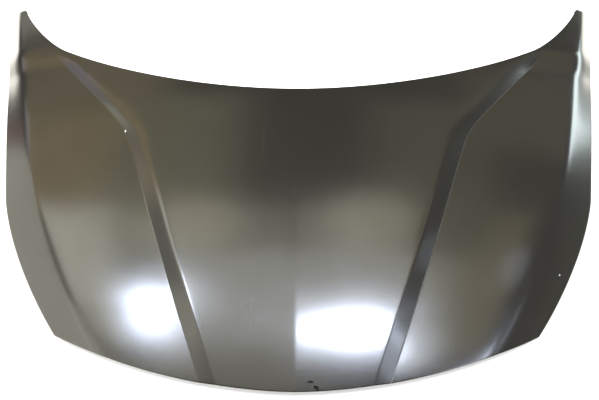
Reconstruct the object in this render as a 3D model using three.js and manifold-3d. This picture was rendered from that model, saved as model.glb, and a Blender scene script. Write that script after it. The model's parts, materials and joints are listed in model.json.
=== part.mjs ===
// Car bonnet as a bare steel panel, lying outer skin up on its front corners and rear horns.
// A pressed skin is hemmed around a pressed inner frame, with reinforcements, weld nuts and mastic pads.
// Millimetres, X across the car, the nose towards -Y, +Z up, origin on the floor under the middle.
// Points of the plan are given as x from the centre line and v back from the nose.

import * as THREE from 'three';
import { mergeVertices } from 'three/addons/utils/BufferGeometryUtils.js';
import Module from 'manifold-3d';

const wasm = await Module();
wasm.setup();

// Plan outline of one half
const cornerX = 577;
const cornerV = 151;
const noseRun = 210;
const noseRise = 5;
const cornerRun = 147;
const cornerRise = 91;
const kinkX = 717;
const kinkV = 483;
const hornX = 757;
const hornV = 1021;
const tipX = 724;
const tipV = 1062;
const rearV = 741;
const rearBendX = 590;
const rearBendV = 889;

// How far each outline curve runs straight on from its ends
const sideStart = [63, 95];
const sideEnd = [17, 108];
const hornStart = [3, 31];
const hornEnd = [21, 7];
const rearRun = 200;
const rearBendIn = [160, 93];
const rearBendOut = [45, 26];
const tipRun = [26, 69];

// Crease that parts the raised middle from the lower sides, and the rolled shoulder outside it
const creaseX = 414;
const creaseV = 638;
const creaseEndX = 642;
const creaseSlope = 0.27;
const creaseBend = 0.575;
const creaseBow = 0.00007;
const creaseBlend = 30;
const shoulderX = 654;
const shoulderV = 548;
const shoulderEndX = 712;
const shoulderSlope = 0.17;
const shoulderBow = 0.0005;

// Heights of the pressed skin
const noseDrop = 155;
const apexV = 678;
const rearRadius = 1100;
const crossRadius = 4000;
const rampHeight = 12;
const rampWidth = 34;
const rampSoftness = 10;
const rampFadeV = 828;
const rampEndV = 903;
const rampFrontShare = 0.35;
const rampFrontV = 198;
const ridgeSlope = 0.008;
const noseRidgeSlope = 0.038;
const ridgeFade = [78, 628];
const ridgeReach = 60;
const ridgeRadius = 3;
const bandSlope = 0.5;
const hornRoll = 12;
const rollRun = 50;
const rollFade = [668, 1028];
const shoulderSoftness = 10;
const frontSoftness = 40;
const softnessFade = [228, 578];

// Sheets and hem
const skinSheet = 0.7;
const frameSheet = 0.65;
const hemWidth = 11;
const hemGap = 0.3;
const frameEdge = 1.5;
const hemSlot = frameSheet + 2 * hemGap;
const hemStack = 2 * skinSheet + hemSlot;

// Inner frame
const channelDepth = 22;
const rimGap = 4;
const rimWidth = 22;
const cutoutRadius = 30;
const wallRun = 16;
const centreRibHalf = 34;
const creaseRibInboard = 56;
const creaseRibOutboard = 20;
const sideRibInboard = 30;
const floorShare = 0.5;
const floorClearance = 3;
const clipHoleRadius = 4.5;
const sideFloorOut = 20;
const flangeInside = 12;
const cutterHeight = 300;
const guideStep = 20;

// Reinforcements, nuts and pads
const fitGap = 0.3;
const hingePlateLength = 70;
const hingePlateWidth = 40;
const hingePlateThickness = 2;
const hingePlateSetback = 22;
const hingeBoltSpacing = 44;
const hingeHoleRadius = 5.5;
const hingeNutFlats = 13;
const hingeNutHeight = 6.5;
const hingeNutBore = 3.4;
const latchPlateLength = 84;
const latchPlateWidth = 36;
const latchPlateThickness = 1.5;
const latchBoltSpacing = 50;
const latchHoleRadius = 4;
const latchNutFlats = 10;
const latchNutHeight = 5;
const latchNutBore = 2.5;
const padRadius = 9;
const padGap = 0.45;

const steel = (color, roughness) => new THREE.MeshStandardMaterial({ color, roughness, metalness: 1 });
const skinSteel = steel(0x6e6a62, 0.32);
const frameSteel = steel(0x77756f, 0.42);
const plateSteel = steel(0x86847e, 0.45);
const nutSteel = steel(0xa8a69c, 0.38);
const mastic = new THREE.MeshStandardMaterial({ color: 0x26262a, roughness: 0.9, metalness: 0 });

const { lerp, smoothstep } = THREE.MathUtils;
const at = (x, v) => new THREE.Vector2(x, v);
const soft = (d, r) => 0.5 * (Math.hypot(d, r) + d);

// Plan curves
const path = (...curves) => {
  const joined = new THREE.CurvePath();
  curves.forEach((curve) => joined.add(curve));
  return joined;
};

const curveFrom = (x, v, [startX, startV], endX, endV, [backX, backV]) => new THREE.CubicBezierCurve(
  at(x, v), at(x + startX, v + startV), at(endX - backX, endV - backV), at(endX, endV));

const frontEdge = path(
  curveFrom(0, 0, [noseRun, noseRise], cornerX, cornerV, [cornerRun, cornerRise]),
);
const sideEdge = path(
  curveFrom(cornerX, cornerV, sideStart, kinkX, kinkV, sideEnd),
  new THREE.LineCurve(at(kinkX, kinkV), at(hornX, hornV)),
  curveFrom(hornX, hornV, hornStart, tipX, tipV, [-hornEnd[0], -hornEnd[1]]),
);
const rearEdge = path(
  curveFrom(0, rearV, [rearRun, 0], rearBendX, rearBendV, rearBendIn),
  curveFrom(rearBendX, rearBendV, rearBendOut, tipX, tipV, tipRun),
);

const creaseLine = (v) => creaseX + creaseSlope * (v - creaseV)
  + creaseBend * soft(v - creaseV, creaseBlend) - creaseBow * Math.max(0, creaseV - v) ** 2;
const shoulderLine = (v) => shoulderX + shoulderSlope * (v - shoulderV)
  - shoulderBow * Math.max(0, shoulderV - v) ** 2;

// Height of the pressing before it is levelled
function pressedHeight(x, v) {
  const across = Math.abs(x);
  const fall = noseDrop * (Math.max(0, apexV - v) / apexV) ** 2;
  const rearFall = Math.max(0, v - apexV) ** 2 / (2 * rearRadius);
  const ridge = lerp(noseRidgeSlope, ridgeSlope, smoothstep(v, ...ridgeFade));
  const fromRidge = Math.hypot(across, ridgeRadius) - ridgeRadius;
  const ridgeDrop = ridge * ridgeReach * Math.tanh(fromRidge / ridgeReach);
  const rampShare = 1 - smoothstep(v, rampFadeV, rampEndV);
  const rampFront = lerp(rampFrontShare, 1, smoothstep(v, 0, rampFrontV));
  const inboard = Math.max(0, creaseLine(v) - across);
  const rampDepth = soft(rampWidth - inboard, rampSoftness) / soft(rampWidth, rampSoftness);
  const rampDrop = rampHeight * rampShare * rampFront * rampDepth;
  const softness = lerp(frontSoftness, shoulderSoftness, smoothstep(v, ...softnessFade));
  const outboard = across - shoulderLine(v);
  const rollDrop = hornRoll * smoothstep(v, ...rollFade) * smoothstep(outboard, 0, rollRun);
  const bandDrop = bandSlope * soft(outboard, softness) + rollDrop;
  return -fall - rearFall - ridgeDrop - across * across / (2 * crossRadius) - rampDrop - bandDrop;
}

// Rows of the mesh run across the panel, as shares of the way from its front edge to its rear edge
const rowShares = [0, 0.02, 0.05, 0.09, 0.13, 0.15, 0.25, 0.375, 0.455, 0.475,
  0.52, 0.54, 0.63, 0.72, 0.8, 0.82, 0.85, 0.9, 0.95, 0.98, 1];
const lastRow = rowShares.length - 1;
const frontChannel = [2, 4];
const crossRib = [9, 10];
const rearChannel = [15, 18];
const hingeRows = [16, 18];

// Columns run from front to rear: centre line, crease at 9, shoulder at 16, hem line at 19
const creaseColumn = 9;
const shoulderColumn = 16;
const lastColumn = 19;
const creaseRibColumns = [5, 10];
const sideFloorColumn = 14;
const hingeColumns = [10, 14];
const latchColumn = 2;

function middleShares(width) {
  const rim = centreRibHalf + wallRun;
  const farRim = width - creaseRibInboard - wallRun;
  const columns = [0, centreRibHalf, rim, (rim + farRim) / 2, farRim,
    width - creaseRibInboard, width - rampWidth - rampSoftness, width - rampWidth,
    width - rampWidth + rampSoftness, width];
  return columns.map((d) => d / width);
}

function outerShares(width) {
  const near = creaseRibOutboard + wallRun;
  const far = sideRibInboard + wallRun;
  const scale = Math.min(1, width / (near + far + rimWidth));
  const columns = [0, creaseRibOutboard, near, 0, -far, -sideRibInboard, -shoulderSoftness, width];
  const placed = columns.map((d) => (d < 0 ? width + d * scale : d * scale));
  placed[3] = (placed[2] + placed[4]) / 2;
  placed[7] = width;
  return placed.map((d) => d / width);
}

const sideShares = (width) => [
  0, Math.min(sideFloorOut, width / 3), width - Math.min(flangeInside, width / 3), width,
].map((d) => d / width);

// Inward offset of a corner between two edges with the given tangents
const inward = (tangent) => at(-tangent.y, tangent.x);
function mitre(a, b) {
  return a.clone().add(b).divideScalar(1 + a.dot(b));
}

function edgePlace(edge, share, direction) {
  const point = edge.getPoint(share);
  const ahead = edge.getPoint(Math.min(1, share + 1e-4));
  const behind = edge.getPoint(Math.max(0, share - 1e-4));
  return { point, normal: inward(ahead.sub(behind).normalize().multiplyScalar(direction)) };
}

function mitredPlace(first, second) {
  return { point: second.point, normal: mitre(first.normal, second.normal) };
}

const onAxis = (place) => mitredPlace({ normal: at(-place.normal.x, place.normal.y) }, place);
const cornerPlace = mitredPlace(edgePlace(frontEdge, 1, 1), edgePlace(sideEdge, 0, 1));
const tipPlace = mitredPlace(edgePlace(rearEdge, 1, -1), edgePlace(sideEdge, 1, 1));
const insetOf = (place, distance) => place.point.clone().addScaledVector(place.normal, distance);

// Share of the way along an edge where the test value turns positive
function crossing(edge, test) {
  let low = 0;
  let high = 1;
  for (let step = 0; step < 40; step += 1) {
    const middle = (low + high) / 2;
    if (test(edge.getPoint(middle)) > 0) {
      high = middle;
    } else {
      low = middle;
    }
  }
  return high;
}

const frontShares = [0, crossing(frontEdge, (p) => p.x - creaseLine(p.y)),
  crossing(frontEdge, (p) => p.x - shoulderLine(p.y)), 1];
const rearShares = [0, crossing(rearEdge, (p) => p.x - creaseEndX),
  crossing(rearEdge, (p) => p.x - shoulderEndX), 1];
const blockColumns = [0, creaseColumn, shoulderColumn, lastColumn];
const blockShares = [middleShares, outerShares, sideShares];

// Places on the front or rear edge, one for each column
function edgeRow(edge, ends, direction) {
  const length = edge.getLength();
  const places = [];
  blockShares.forEach((shares, block) => {
    const span = ends[block + 1] - ends[block];
    shares(span * length).forEach((share, step) => {
      places[blockColumns[block] + step] = edgePlace(edge, ends[block] + span * share, direction);
    });
  });
  places[0] = onAxis(places[0]);
  return places;
}

const frontRow = edgeRow(frontEdge, frontShares, 1);
const rearRow = edgeRow(rearEdge, rearShares, -1);
frontRow[lastColumn] = cornerPlace;
rearRow[lastColumn] = tipPlace;
const sideColumn = rowShares.map((share) => edgePlace(sideEdge, share, 1));
sideColumn[0] = cornerPlace;
sideColumn[lastRow] = tipPlace;

// Points at the row shares along a line through the panel
function sampleLine(points) {
  const line = path(...points.slice(1).map((p, k) => new THREE.LineCurve(points[k], p)));
  return rowShares.map((share) => line.getPoint(share));
}

function plannedLine(column, lineX, lastV) {
  const start = insetOf(frontRow[column], hemWidth);
  const end = insetOf(rearRow[column], hemWidth);
  const points = [start];
  for (let v = start.y + guideStep; v < lastV; v += guideStep) {
    points.push(at(lineX(v), v));
  }
  points.push(end);
  return sampleLine(points);
}

const guideLines = [
  sampleLine([insetOf(frontRow[0], hemWidth), insetOf(rearRow[0], hemWidth)]),
  plannedLine(creaseColumn, creaseLine, rampEndV - guideStep),
  plannedLine(shoulderColumn, shoulderLine, hornV - 3 * guideStep),
  sideColumn.map((place) => insetOf(place, hemWidth)),
];

// Plan points inside the hem line, from the guide lines and the two edges
function planPoints() {
  const plan = rowShares.map(() => []);
  blockShares.forEach((shares, block) => {
    const [near, far] = [guideLines[block], guideLines[block + 1]];
    const first = blockColumns[block];
    const sharesOf = (row) => shares(near[row].distanceTo(far[row]));
    const straight = (row, step) => near[row].clone().lerp(far[row], sharesOf(row)[step]);
    for (let step = 0; step <= blockColumns[block + 1] - first; step += 1) {
      const frontBow = insetOf(frontRow[first + step], hemWidth).sub(straight(0, step));
      const rearBow = insetOf(rearRow[first + step], hemWidth).sub(straight(lastRow, step));
      rowShares.forEach((share, row) => {
        plan[row][first + step] = straight(row, step)
          .addScaledVector(frontBow, 1 - share).addScaledVector(rearBow, share);
      });
    }
  });
  return plan;
}

const plan = planPoints();
const mirrored = (point, side) => at(point.x * side, point.y);
const sideOf = (column) => (column < 0 ? -1 : 1);
const planAt = (row, column) => mirrored(plan[row][Math.abs(column)], sideOf(column));

// Loop of nodes around the hem line, anticlockwise from above, each with its place on the outline
function rimLoop() {
  const loop = [];
  const add = (row, column) => {
    const side = sideOf(column);
    const edges = [frontRow[Math.abs(column)], sideColumn[row], rearRow[Math.abs(column)]];
    const place = edges[row === 0 ? 0 : row === lastRow ? 2 : 1];
    loop.push({ row, column, point: mirrored(place.point, side), normal: mirrored(place.normal, side) });
  };
  for (let column = -lastColumn; column <= lastColumn; column += 1) add(0, column);
  for (let row = 1; row <= lastRow; row += 1) add(row, lastColumn);
  for (let column = lastColumn - 1; column >= -lastColumn; column -= 1) add(lastRow, column);
  for (let row = lastRow - 1; row >= 1; row -= 1) add(row, -lastColumn);
  return loop;
}

const loop = rimLoop();
const panelLength = Math.max(...loop.map(({ point }) => point.y));
const midV = panelLength / 2;

// The panel stands level on its front corners and the ends of its horns
const rearRest = sideEdge.getPoint(rowShares[lastRow - 1]);
const cornerHeight = pressedHeight(cornerX, cornerV);
const pitch = (pressedHeight(rearRest.x, rearRest.y) - cornerHeight) / (rearRest.y - cornerV);
const levelled = (x, v) => pressedHeight(x, v) - cornerHeight - pitch * (v - cornerV);
const lowest = Math.min(...loop.map(({ point }) => levelled(point.x, point.y)));
const skinHeight = (x, v) => levelled(x, v) - lowest + hemStack;
const solidPoint = (p, height) => new THREE.Vector3(p.x, p.y - midV, height);

// Ring of points at a distance inside the outline and a drop below the skin's facets
function ringAt(distance, drop) {
  return loop.map(({ row, column, point, normal }) => {
    const hemLine = planAt(row, column);
    const outer = skinHeight(point.x, point.y);
    const inner = skinHeight(hemLine.x, hemLine.y);
    const place = point.clone().addScaledVector(normal, distance);
    return solidPoint(place, lerp(outer, inner, distance / hemWidth) - drop);
  });
}

// Closed sheet from an upper and a lower height at each node, and the rings that join them
function sheetGeometry(upper, lower, rings) {
  const positions = [];
  const index = [];
  const addPoint = (p) => positions.push(p.x, p.y, p.z) / 3 - 1;
  const addQuad = (a, b, c, d, turned) => {
    index.push(...(turned ? [a, b, d, b, c, d] : [a, b, c, a, c, d]));
  };
  const addGrid = (heightOf) => rowShares.map((_, row) => {
    const nodes = {};
    for (let column = -lastColumn; column <= lastColumn; column += 1) {
      nodes[column] = addPoint(solidPoint(planAt(row, column), heightOf(row, column)));
    }
    return nodes;
  });
  const top = addGrid(upper);
  const bottom = addGrid(lower);
  for (let row = 0; row < lastRow; row += 1) {
    for (let column = -lastColumn; column < lastColumn; column += 1) {
      const corners = (grid) => [grid[row][column], grid[row][column + 1],
        grid[row + 1][column + 1], grid[row + 1][column]];
      const [a, b, c, d] = corners(bottom);
      addQuad(...corners(top), column < 0);
      addQuad(a, d, c, b, column < 0);
    }
  }
  const boundary = (grid) => loop.map(({ row, column }) => grid[row][column]);
  const chain = [boundary(top), ...rings.map((ring) => ring.map(addPoint)), boundary(bottom)];
  for (let k = 1; k < chain.length; k += 1) {
    loop.forEach((_, n) => {
      const next = (n + 1) % loop.length;
      addQuad(chain[k - 1][n], chain[k][n], chain[k][next], chain[k - 1][next], k % 4 === 1);
    });
  }
  const geometry = new THREE.BufferGeometry();
  geometry.setAttribute('position', new THREE.Float32BufferAttribute(positions, 3));
  geometry.setIndex(index);
  return geometry;
}

const skinAt = (row, column) => {
  const p = planAt(row, column);
  return skinHeight(p.x, p.y);
};

const skinGeometry = sheetGeometry(
  skinAt,
  (row, column) => skinAt(row, column) - skinSheet,
  [
    ringAt(0, 0),
    ringAt(0, hemStack),
    ringAt(hemWidth, hemStack),
    ringAt(hemWidth, hemStack - skinSheet),
    ringAt(skinSheet, hemStack - skinSheet),
    ringAt(skinSheet, skinSheet),
  ],
);

// Inner frame: a flange in the hem, deep channels and ribs, and rims close under the skin
const within = (value, [low, high]) => value >= low && value <= high;
const isFlange = (row, column) => row < 2 || row > lastRow - 2 || Math.abs(column) > lastColumn - 2;
const isChannelRow = (row) => within(row, frontChannel) || within(row, crossRib) || within(row, rearChannel);
function isRibColumn(column) {
  const place = Math.abs(column);
  return place < 2 || within(place, creaseRibColumns) || place >= sideFloorColumn;
}

// Under the crease the rib's floor runs straight from one side of the ramp to the other
function ribbedSkin(row, column) {
  const place = Math.abs(column);
  const [first, last] = creaseRibColumns;
  if (!within(place, [first + 1, last - 1])) {
    return skinAt(row, column);
  }
  const share = plan[row][place].distanceTo(plan[row][first]) / plan[row][last].distanceTo(plan[row][first]);
  return lerp(skinAt(row, first), skinAt(row, last), share);
}

function frameTop(row, column) {
  const skin = skinAt(row, column);
  if (isFlange(row, column)) {
    return skin - skinSheet - hemGap;
  }
  if (!isChannelRow(row) && !isRibColumn(column)) {
    return skin - skinSheet - rimGap;
  }
  const depth = Math.min(channelDepth, floorShare * Math.max(0, skin - floorClearance));
  return Math.min(ribbedSkin(row, column), skin) - skinSheet - hemGap - depth;
}

// Flat seat pressed into the floor at a node: its centre and its two slopes
function flatSeat(row, column) {
  const p = planAt(row, column);
  const step = 5;
  const slopeX = (skinHeight(p.x + step, p.y) - skinHeight(p.x - step, p.y)) / (2 * step);
  const slopeV = (skinHeight(p.x, p.y + step) - skinHeight(p.x, p.y - step)) / (2 * step);
  const height = frameTop(row, column);
  const heightAt = (q) => height + slopeX * (q.x - p.x) + slopeV * (q.y - p.y);
  return { centre: p, height, heightAt, normal: new THREE.Vector3(-slopeX, -slopeV, 1).normalize() };
}

const hingeMiddle = [(hingeRows[0] + hingeRows[1]) / 2, (hingeColumns[0] + hingeColumns[1]) / 2];
const latchRow = (frontChannel[0] + frontChannel[1]) / 2;
const hingeSeats = [-1, 1].map((side) => flatSeat(hingeMiddle[0], side * hingeMiddle[1]));
const latchSeat = flatSeat(latchRow, 0);

function seatedTop(row, column) {
  if (within(row, hingeRows) && within(Math.abs(column), hingeColumns)) {
    return hingeSeats[column < 0 ? 0 : 1].heightAt(planAt(row, column));
  }
  if (within(row, frontChannel) && Math.abs(column) <= latchColumn) {
    return latchSeat.heightAt(planAt(row, column));
  }
  return frameTop(row, column);
}

const frameSheetGeometry = sheetGeometry(
  seatedTop,
  (row, column) => seatedTop(row, column) - frameSheet,
  [
    ringAt(frameEdge, skinSheet + hemGap),
    ringAt(frameEdge, skinSheet + hemGap + frameSheet),
  ],
);

// Cut-outs between the ribs, each from its rim lines: first and last row and column
const pockets = [
  { rows: [5, 8], columns: [2, 4] },
  { rows: [11, 14], columns: [2, 4] },
  { rows: [5, 8], columns: [11, 13] },
  { rows: [11, 14], columns: [11, 13] },
];

// Plan point inside a pocket at shares across it and along it
function pocketPoint({ rows, columns }, across, along) {
  const column = lerp(columns[0], columns[1], across);
  const row = lerp(rows[0], rows[1], along);
  const [c, r] = [Math.min(Math.floor(column), columns[1] - 1), Math.min(Math.floor(row), rows[1] - 1)];
  const near = plan[r][c].clone().lerp(plan[r][c + 1], column - c);
  const far = plan[r + 1][c].clone().lerp(plan[r + 1][c + 1], column - c);
  return near.lerp(far, row - r);
}

function cutoutShape(pocket, side) {
  const width = pocketPoint(pocket, 0, 0.5).distanceTo(pocketPoint(pocket, 1, 0.5));
  const length = pocketPoint(pocket, 0.5, 0).distanceTo(pocketPoint(pocket, 0.5, 1));
  const radius = Math.min(cutoutRadius, (width - 2 * rimWidth) / 2.2);
  const outline = new THREE.Path();
  const [left, bottom] = [rimWidth, rimWidth];
  const [right, top] = [width - rimWidth, length - rimWidth];
  outline.absarc(right - radius, top - radius, radius, 0, Math.PI / 2);
  outline.absarc(left + radius, top - radius, radius, Math.PI / 2, Math.PI);
  outline.absarc(left + radius, bottom + radius, radius, Math.PI, 1.5 * Math.PI);
  outline.absarc(right - radius, bottom + radius, radius, 1.5 * Math.PI, 2 * Math.PI);
  outline.closePath();
  const corners = outline.getPoints(4);
  const points = corners.flatMap((p, k) => {
    const next = corners[(k + 1) % corners.length];
    const steps = Math.max(1, Math.round(p.distanceTo(next) / 80));
    return Array.from({ length: steps }, (_, n) => p.clone().lerp(next, n / steps));
  });
  const placed = points.map((p) => mirrored(pocketPoint(pocket, p.x / width, p.y / length), side));
  return new THREE.Shape(placed.map((p) => at(p.x, p.y - midV)));
}

const toSolid = (geometry) => {
  const bare = geometry.clone();
  bare.deleteAttribute('normal');
  bare.deleteAttribute('uv');
  const merged = mergeVertices(bare, 1e-4);
  return new wasm.Manifold(new wasm.Mesh({
    numProp: 3,
    vertProperties: new Float32Array(merged.attributes.position.array),
    triVerts: new Uint32Array(merged.index.array),
  }));
};

const toGeometry = (solid) => {
  const mesh = solid.getMesh();
  const geometry = new THREE.BufferGeometry();
  geometry.setAttribute('position', new THREE.BufferAttribute(new Float32Array(mesh.vertProperties), 3));
  geometry.setIndex(new THREE.BufferAttribute(new Uint32Array(mesh.triVerts), 1));
  return geometry;
};

// Placement of pieces on a flat seat, long side along the given direction and moved back along it
function seatMatrix(seat, along, setback) {
  const z = seat.normal;
  const x = along.clone().addScaledVector(z, -along.dot(z)).normalize();
  const y = z.clone().cross(x);
  const matrix = new THREE.Matrix4().makeBasis(x, y, z);
  return matrix.setPosition(solidPoint(seat.centre, seat.height).addScaledVector(x, -setback));
}

const hingeMatrices = hingeSeats.map((seat, side) => {
  const column = (side === 0 ? -1 : 1) * hingeMiddle[1];
  const from = planAt(hingeRows[0], column);
  const to = planAt(hingeRows[1], column);
  const along = solidPoint(to, seat.heightAt(to)).sub(solidPoint(from, seat.heightAt(from)));
  return seatMatrix(seat, along, hingePlateSetback);
});
const latchMatrix = seatMatrix(latchSeat, new THREE.Vector3(1, 0, 0), 0);

function boreThrough(matrix, x, radius) {
  const bore = new THREE.CylinderGeometry(radius, radius, channelDepth, 16).rotateX(Math.PI / 2);
  return toSolid(bore.translate(x, 0, 0).applyMatrix4(matrix));
}

// Round holes for trim clips in the floors of the channels
const clipPlaces = [[3, 7], [16.5, 3], [16.5, 7], [9.5, 7], [7, 14.5]];
function clipBore([row, column], side) {
  const [r, c] = [Math.floor(row), Math.floor(column)];
  const a = plan[r][c].clone().lerp(plan[r][Math.ceil(column)], column - c);
  const b = plan[Math.ceil(row)][c].clone().lerp(plan[Math.ceil(row)][Math.ceil(column)], column - c);
  const p = mirrored(a.lerp(b, row - r), side);
  const bore = new THREE.CylinderGeometry(clipHoleRadius, clipHoleRadius, cutterHeight, 10);
  return toSolid(bore.rotateX(Math.PI / 2).translate(p.x, p.y - midV, cutterHeight / 3));
}

function frameGeometry() {
  let solid = toSolid(frameSheetGeometry);
  const cut = (tool) => {
    solid = solid.subtract(tool);
  };
  [-1, 1].forEach((side) => {
    pockets.forEach((pocket) => {
      const prism = { depth: cutterHeight, bevelEnabled: false };
      cut(toSolid(new THREE.ExtrudeGeometry(cutoutShape(pocket, side), prism)));
    });
    clipPlaces.forEach((place) => cut(clipBore(place, side)));
    cut(boreThrough(latchMatrix, side * latchBoltSpacing / 2, latchHoleRadius));
    hingeMatrices.forEach((matrix) => cut(boreThrough(matrix, side * hingeBoltSpacing / 2, hingeHoleRadius)));
  });
  return toGeometry(solid);
}

// Small pressed and turned pieces
function roundedPlate(length, width, thickness, spacing, holeRadius) {
  const radius = width / 4;
  const [x, y] = [length / 2 - radius, width / 2 - radius];
  const shape = new THREE.Shape();
  shape.absarc(x, y, radius, 0, Math.PI / 2);
  shape.absarc(-x, y, radius, Math.PI / 2, Math.PI);
  shape.absarc(-x, -y, radius, Math.PI, 1.5 * Math.PI);
  shape.absarc(x, -y, radius, 1.5 * Math.PI, 2 * Math.PI);
  [-1, 1].forEach((side) => {
    shape.holes.push(new THREE.Path().absarc(side * spacing / 2, 0, holeRadius, 0, 2 * Math.PI, true));
  });
  return new THREE.ExtrudeGeometry(shape, { depth: thickness, bevelEnabled: false, curveSegments: 5 });
}

function nutGeometry(flats, height, bore) {
  const corner = flats / Math.sqrt(3);
  const shape = new THREE.Shape();
  for (let k = 0; k < 6; k += 1) {
    const turn = k * Math.PI / 3;
    shape[k === 0 ? 'moveTo' : 'lineTo'](corner * Math.cos(turn), corner * Math.sin(turn));
  }
  shape.closePath();
  shape.holes.push(new THREE.Path().absarc(0, 0, bore, 0, 2 * Math.PI, true));
  return new THREE.ExtrudeGeometry(shape, { depth: height, bevelEnabled: false, curveSegments: 6 });
}

const bonnet = new THREE.Group();

function addMesh(parent, name, geometry, material) {
  const mesh = new THREE.Mesh(geometry, material);
  mesh.name = name;
  parent.add(mesh);
  return mesh;
}

function addSeatGroup(matrix) {
  const group = new THREE.Group();
  matrix.decompose(group.position, group.quaternion, group.scale);
  bonnet.add(group);
  return group;
}

// A reinforcement plate on a seat, and a weld nut over each of its two bolt holes
function addReinforcement(matrix, name, nutNames, plate, nut) {
  const group = addSeatGroup(matrix);
  const sheet = roundedPlate(plate.length, plate.width, plate.thickness, plate.spacing, plate.hole);
  addMesh(group, name, sheet, plateSteel).position.z = fitGap;
  [-1, 1].forEach((end, k) => {
    const mesh = addMesh(group, nutNames[k], nutGeometry(nut.flats, nut.height, nut.bore), nutSteel);
    mesh.position.set(end * plate.spacing / 2, 0, plate.thickness + 2 * fitGap);
  });
}

const hingePlate = {
  length: hingePlateLength, width: hingePlateWidth, thickness: hingePlateThickness,
  spacing: hingeBoltSpacing, hole: hingeHoleRadius,
};
const hingeNut = { flats: hingeNutFlats, height: hingeNutHeight, bore: hingeNutBore };
const latchPlate = {
  length: latchPlateLength, width: latchPlateWidth, thickness: latchPlateThickness,
  spacing: latchBoltSpacing, hole: latchHoleRadius,
};
const latchNut = { flats: latchNutFlats, height: latchNutHeight, bore: latchNutBore };

addMesh(bonnet, 'outer_skin', skinGeometry, skinSteel);
addMesh(bonnet, 'inner_frame', frameGeometry(), frameSteel);
['left', 'right'].forEach((side, k) => {
  const nuts = [`hinge_nut_${side}_front`, `hinge_nut_${side}_rear`];
  addReinforcement(hingeMatrices[k], `hinge_reinforcement_${side}`, nuts, hingePlate, hingeNut);
});
const latchNuts = ['latch_nut_left', 'latch_nut_right'];
addReinforcement(latchMatrix, 'latch_reinforcement', latchNuts, latchPlate, latchNut);

// Mastic pads between the skin and the rims, two on each long side of each cut-out.
// Each lies flat on the facet between its rim and the next column, halfway between two rows.
const padRows = [[5, 6], [11, 12], [5, 6], [11, 12]];
function addPad(name, row, side, rim, inside) {
  const skinPoint = (r, c) => solidPoint(planAt(r, side * c), skinAt(r, side * c));
  const [front, rear] = [skinPoint(row, rim), skinPoint(row + 1, rim)];
  const across = skinPoint(inside > rim ? row + 1 : row, inside).sub(inside > rim ? rear : front);
  const along = rear.clone().sub(front);
  const normal = across.clone().cross(along).normalize();
  normal.multiplyScalar(Math.sign(normal.z));
  const inwards = normal.clone().cross(along).normalize();
  inwards.multiplyScalar(Math.sign(inwards.dot(across)) * rimWidth / 2);
  const centre = front.lerp(rear, 0.5).add(inwards);
  const thickness = rimGap * normal.z - 2 * padGap;
  const geometry = new THREE.CylinderGeometry(padRadius, padRadius, thickness, 12);
  const mesh = addMesh(bonnet, name, geometry, mastic);
  mesh.position.copy(centre).setZ(centre.z - skinSheet - rimGap / 2);
  mesh.quaternion.setFromUnitVectors(new THREE.Vector3(0, 1, 0), normal);
}

['left', 'right'].forEach((sideName, k) => {
  const side = k === 0 ? -1 : 1;
  let count = 0;
  pockets.forEach(({ columns: [first, last] }, pocket) => {
    padRows[pocket].forEach((row) => {
      [[first, first + 1], [last, last - 1]].forEach(([rim, inside]) => {
        count += 1;
        addPad(`mastic_pad_${sideName}_${String(count).padStart(2, '0')}`, row, side, rim, inside);
      });
    });
  });
});

export default bonnet;
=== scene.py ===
"""Bare steel car bonnet on a pale studio floor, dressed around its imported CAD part.

The skin and the inner frame follow the CAD part's plan curves and heights, on a finer mesh and with
finer roundings at the ramps, the creases and the hem.
Lengths are metres: X across the car, the nose towards -Y, Z up. Plan points are x from the centre
line and v back from the nose.
"""

import json
import math
from bisect import bisect_left

import bmesh
import bpy
from mathutils import Matrix, Vector


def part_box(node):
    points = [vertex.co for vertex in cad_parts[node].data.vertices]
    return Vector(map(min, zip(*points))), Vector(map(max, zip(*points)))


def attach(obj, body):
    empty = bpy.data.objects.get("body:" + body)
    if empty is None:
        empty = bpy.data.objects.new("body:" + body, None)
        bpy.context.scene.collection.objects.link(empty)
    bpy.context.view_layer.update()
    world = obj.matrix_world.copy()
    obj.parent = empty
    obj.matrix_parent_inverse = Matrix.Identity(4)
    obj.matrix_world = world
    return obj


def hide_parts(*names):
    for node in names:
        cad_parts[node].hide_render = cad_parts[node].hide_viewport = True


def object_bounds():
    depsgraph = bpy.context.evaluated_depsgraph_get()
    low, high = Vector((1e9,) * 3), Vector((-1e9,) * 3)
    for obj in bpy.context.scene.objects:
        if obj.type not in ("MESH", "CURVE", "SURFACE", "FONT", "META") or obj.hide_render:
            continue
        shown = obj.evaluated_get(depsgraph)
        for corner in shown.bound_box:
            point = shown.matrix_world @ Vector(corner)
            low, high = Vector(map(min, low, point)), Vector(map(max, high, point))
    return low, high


bl_info = {
    "name": "Bare Steel Car Bonnet",
    "version": (1, 0, 0),
    "blender": (4, 5, 0),
    "location": "View3D > Sidebar > Bonnet",
    "description": "Pressed bonnet skin and inner frame with their steel finishes and a studio",
    "category": "Object",
}

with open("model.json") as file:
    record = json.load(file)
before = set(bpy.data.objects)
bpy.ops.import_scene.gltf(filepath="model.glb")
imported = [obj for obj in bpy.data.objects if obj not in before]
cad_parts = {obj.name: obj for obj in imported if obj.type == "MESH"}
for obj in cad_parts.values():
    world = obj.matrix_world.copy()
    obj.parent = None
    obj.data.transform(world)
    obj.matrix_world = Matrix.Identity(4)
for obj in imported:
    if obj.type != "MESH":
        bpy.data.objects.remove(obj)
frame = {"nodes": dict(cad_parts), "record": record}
CAD_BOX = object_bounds()
PANEL_LENGTH = CAD_BOX[1].y - CAD_BOX[0].y
MID_V = PANEL_LENGTH / 2

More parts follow.
